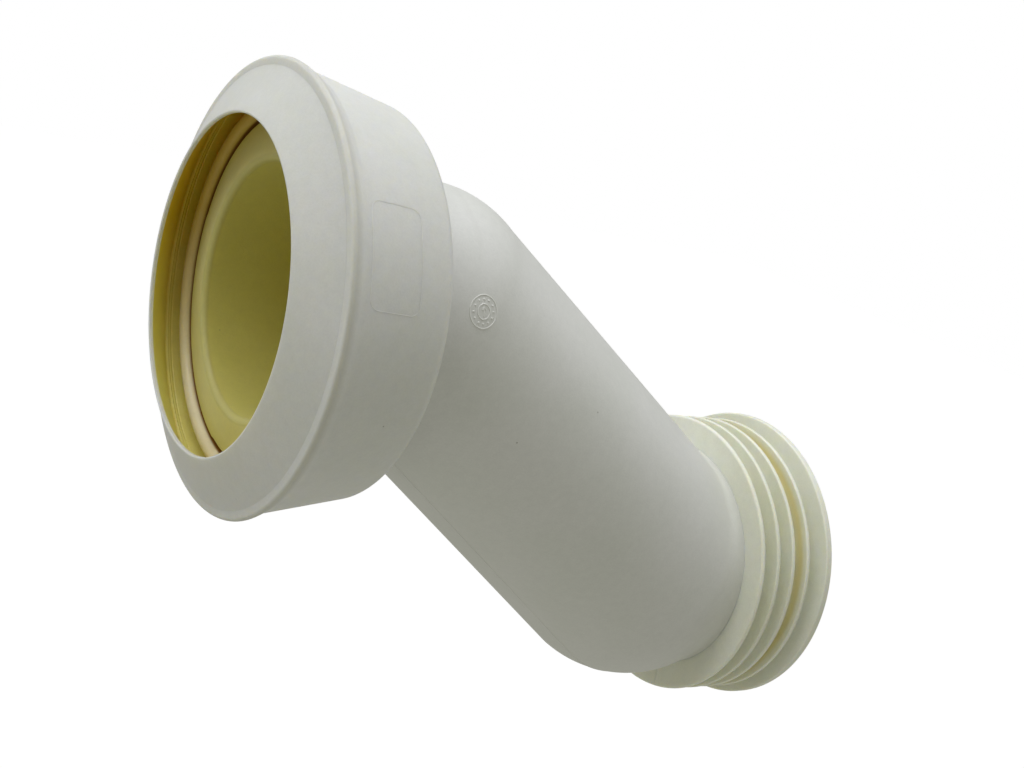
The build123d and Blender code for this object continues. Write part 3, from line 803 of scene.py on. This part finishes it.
class SCENE_OT_mould_marks(bpy.types.Operator):
    """Make the date dial, the mould seams and the blank panel's outline"""
    bl_idname = "pan_connector.mould_marks"
    bl_label = "Mould marks"

    def mark(self, context, name, tree, slot, finish, surface, seat, out, right, **inputs):
        """Draw one mark facing out above its seat and drop it on the surface."""
        size = context.scene.pan_marks
        turn = Matrix((right, out.cross(right), out)).transposed().to_euler()
        inputs = {"Sink": size.sink, "Line": size.bead} | inputs
        mesh = grown(place(name, bpy.data.meshes.new(name)), tree, Surface=bpy.data.objects[surface], Seat=seat,
                     Turn=turn, Finish=finish, **inputs)
        finish_mesh(mesh)
        stand_for(place(name, mesh))

    def execute(self, context):
        size, finish, pipe = context.scene.pan_marks, context.scene.pan_finishes, context.scene.pan_pipe
        along = Vector((1, 0, 0))
        # The pipe's own resin, in lines too fine for light to sink in, a little paler as a painted highlight along the
        # raised lines.
        plastic = moulding("polypropylene_mark", finish.mark, finish.pipe, 0.4, POLYPROPYLENE_IOR, 0)
        # The cap's elastomer in the same fine lines, with the same paler painted highlight.
        cap_line = moulding("cap_elastomer_mark", finish.mark, finish.cap, 0.4, ELASTOMER_IOR, 0)
        # The sleeve's rubber in the same fine lines.
        sleeve_line = moulding("sleeve_elastomer_mark", finish.sleeve_cloud, finish.sleeve_cloud, 0.5,
                               ELASTOMER_IOR, 0)

        dial_seat, dial_up, lift = Vector((66.5, -39.63, 11.92)) * MM, Vector((-0.0746, 0.3465, 0.9351)), 8
        out = Vector((0.029, -0.957, 0.288)).normalized()
        right = dial_up.cross(out).normalized()
        self.mark(context, "date_dial", dial_tree(), "pipe_plastic", plastic, "offset_pipe_moulding",
                  dial_seat + out * lift * MM, out, right,
                  Radius=size.dial, Dots=size.dots, Dot=size.dot, Line=size.dial_line)

        # The seams are drawn below the pipe and dropped up on it; the far one mirrors the near one.
        seam_start, seam_z, seam_length = 46 * MM, -150 * MM, 159 * MM
        for side, name in ((-1, "near_mould_seam"), (1, "far_mould_seam")):
            self.mark(context, name, seam_tree(), "pipe_plastic", plastic, "offset_pipe_moulding",
                      Vector((seam_start, side * size.seam_y, seam_z)), Vector((0, 0, -1)), along,
                      Length=seam_length, Line=size.seam_line)

        # The collar's seam runs outwards over its face, seen from ahead of it.
        collar_turn, collar_x, collar_start, collar_length = math.radians(-109), 190 * MM, 43.6, 8.6 * MM
        away = Matrix.Rotation(collar_turn, 3, "X") @ Vector((0, 1, 0))
        self.mark(context, "collar_seam", seam_tree(), "sleeve_elastomer", sleeve_line, "outlet_sleeve_moulding",
                  Vector((collar_x, 0, -pipe.offset_drop)) + away * collar_start * MM, -along, away,
                  Length=collar_length)

        panel_reach = 80  # from the axis to where the outline is drawn, outside the skirt, in mm
        out = Matrix.Rotation(size.panel_angle, 3, "X") @ Vector((0, 1, 0))
        self.mark(context, "blank_panel_outline", panel_tree(), "cap_elastomer", cap_line, "inlet_cap_moulding",
                  along * size.panel_x + out * panel_reach * MM, out, along,
                  Width=size.panel_width, Height=size.panel_height, Corner=size.panel_corner, Line=size.panel_line)
        return {"FINISHED"}


class SCENE_OT_connector_stage(bpy.types.Operator):
    """Set the floor, the soft light and the camera"""
    bl_idname = "pan_connector.stage"
    bl_label = "Stage"

    def execute(self, context):
        scene, stage = context.scene, context.scene.pan_stage
        scene.view_settings.view_transform = "Standard"
        far, drop = PAPER_SIZE, -stage.floor_drop
        floor_mesh = bpy.data.meshes.new("studio_floor")
        floor_mesh.from_pydata([(-far, -far, drop), (far, -far, drop), (far, far, drop), (-far, far, drop)], [],
                               [(0, 1, 2, 3)])
        # White background paper far below the part, lit evenly from behind, so no shadow shows on it.
        paper = bpy.data.materials.new("lit_background_paper")
        paper.use_nodes = True
        shader = paper.node_tree.nodes["Principled BSDF"]
        for socket, value in (("Base Color", (0.12, 0.12, 0.12, 1)), ("Roughness", 1.0), ("Specular IOR Level", 0.0),
                              ("Emission Color", (1, 1, 1, 1)), ("Emission Strength", 0.97)):
            shader.inputs[socket].default_value = value
        floor = place("studio_floor", floor_mesh, paper)
        floor.visible_diffuse = floor.visible_glossy = floor.visible_transmission = floor.visible_shadow = False

        # The room's even light; the camera sees the paper's white wherever the floor ends.
        world = bpy.data.worlds.new("studio_room")
        world.use_nodes = True
        tree = world.node_tree
        tree.nodes.clear()
        seen = add(tree, "ShaderNodeLightPath").outputs["Is Camera Ray"]
        rise = add(tree, "ShaderNodeSeparateXYZ", {"Vector": add(tree, "ShaderNodeTexCoord").outputs["Generated"]})
        level = add(tree, "ShaderNodeMapRange", {
            "Value": rise.outputs["Z"], "From Min": -1.0, "From Max": 0.0, "To Min": stage.bounce,
            "To Max": stage.ambient})
        room = add(tree, "ShaderNodeBackground", {"Color": (*stage.room_tone, 1), "Strength": level.outputs["Result"]})
        backdrop = add(tree, "ShaderNodeBackground", {"Color": (1, 1, 1, 1)})
        both = add(tree, "ShaderNodeMixShader", {0: seen, 1: room.outputs[0], 2: backdrop.outputs[0]})
        add(tree, "ShaderNodeOutputWorld", {"Surface": both.outputs[0]})
        scene.world = world

        # Four softboxes face the part's middle, each from its own turn and rise in degrees.
        middle = Vector((0.12, 0.0, -0.04))
        for name, watts, around, rise in (("overhead_softbox", stage.overhead, 0, 90),
                                          ("mouth_side_softbox", stage.key, 180, 55),
                                          ("rim_softbox", stage.rim, 135, 20),
                                          ("outlet_side_softbox", stage.end, 0, 20)):
            box = bpy.data.lights.new(name, "AREA")
            box.shape, box.size, box.energy, box.color = "SQUARE", SOFTBOX_SIZE, watts, stage.lamp_tone
            lamp = bpy.data.objects.new(name, box)
            around, rise = math.radians(around), math.radians(rise)
            way = Vector((math.cos(rise) * math.cos(around), math.cos(rise) * math.sin(around), math.sin(rise)))
            turn = way.to_track_quat("Z", "Y").to_matrix().to_4x4()
            lamp.matrix_world = Matrix.Translation(middle + way * SOFTBOX_DISTANCE) @ turn
            scene.collection.objects.link(lamp)

        lens = bpy.data.cameras.new("photo_camera")
        lens.sensor_width, lens.lens = 36.0, stage.lens
        lens.clip_start, lens.clip_end = 0.01, 50.0
        camera = bpy.data.objects.new("photo_camera", lens)
        stand = (-0.15537, -0.36206, 0.09100)
        right = Vector((0.812992, -0.521888, 0.258218))
        up = Vector((-0.074592, 0.346463, 0.935093))
        turn = Matrix((right, up, right.cross(up))).transposed().to_4x4()
        camera.matrix_world = Matrix.Translation(stand) @ turn
        scene.collection.objects.link(camera)
        scene.camera = camera
        return {"FINISHED"}


class VIEW3D_PT_pan_connector(bpy.types.Panel):
    """Lists the connector's pieces and their sizes"""
    bl_idname = "VIEW3D_PT_pan_connector"
    bl_label = "Pan connector"
    bl_space_type = "VIEW_3D"
    bl_region_type = "UI"
    bl_category = "Pan connector"

    def draw(self, context):
        for operator in PIECES:
            self.layout.operator(operator.bl_idname)
        for name, group in GROUPS.items():
            box = self.layout.box()
            for field in group.__annotations__:
                box.prop(getattr(context.scene, name), field)


PIECES = (SCENE_OT_offset_pipe, SCENE_OT_inlet_cap, SCENE_OT_seal_ring, SCENE_OT_outlet_sleeve,
          SCENE_OT_mould_marks, SCENE_OT_connector_stage)
GROUPS = {"pan_pipe": PipeSizes, "pan_cap": CapSizes, "pan_ring": RingSizes, "pan_sleeve": SleeveSizes,
          "pan_marks": MarkSizes, "pan_finishes": Finishes, "pan_stage": StageSettings}


def register():
    for cls in (*GROUPS.values(), *PIECES, VIEW3D_PT_pan_connector):
        bpy.utils.register_class(cls)
    for name, group in GROUPS.items():
        setattr(bpy.types.Scene, name, bpy.props.PointerProperty(type=group))


def unregister():
    for name in GROUPS:
        delattr(bpy.types.Scene, name)
    for cls in (VIEW3D_PT_pan_connector, *reversed(PIECES), *reversed(GROUPS.values())):
        bpy.utils.unregister_class(cls)


def main():
    register()
    bpy.ops.pan_connector.offset_pipe()
    bpy.ops.pan_connector.inlet_cap()
    bpy.ops.pan_connector.seal_ring()
    bpy.ops.pan_connector.outlet_sleeve()
    bpy.ops.pan_connector.mould_marks()
    bpy.ops.pan_connector.stage()


if __name__ == "__main__":
    main()
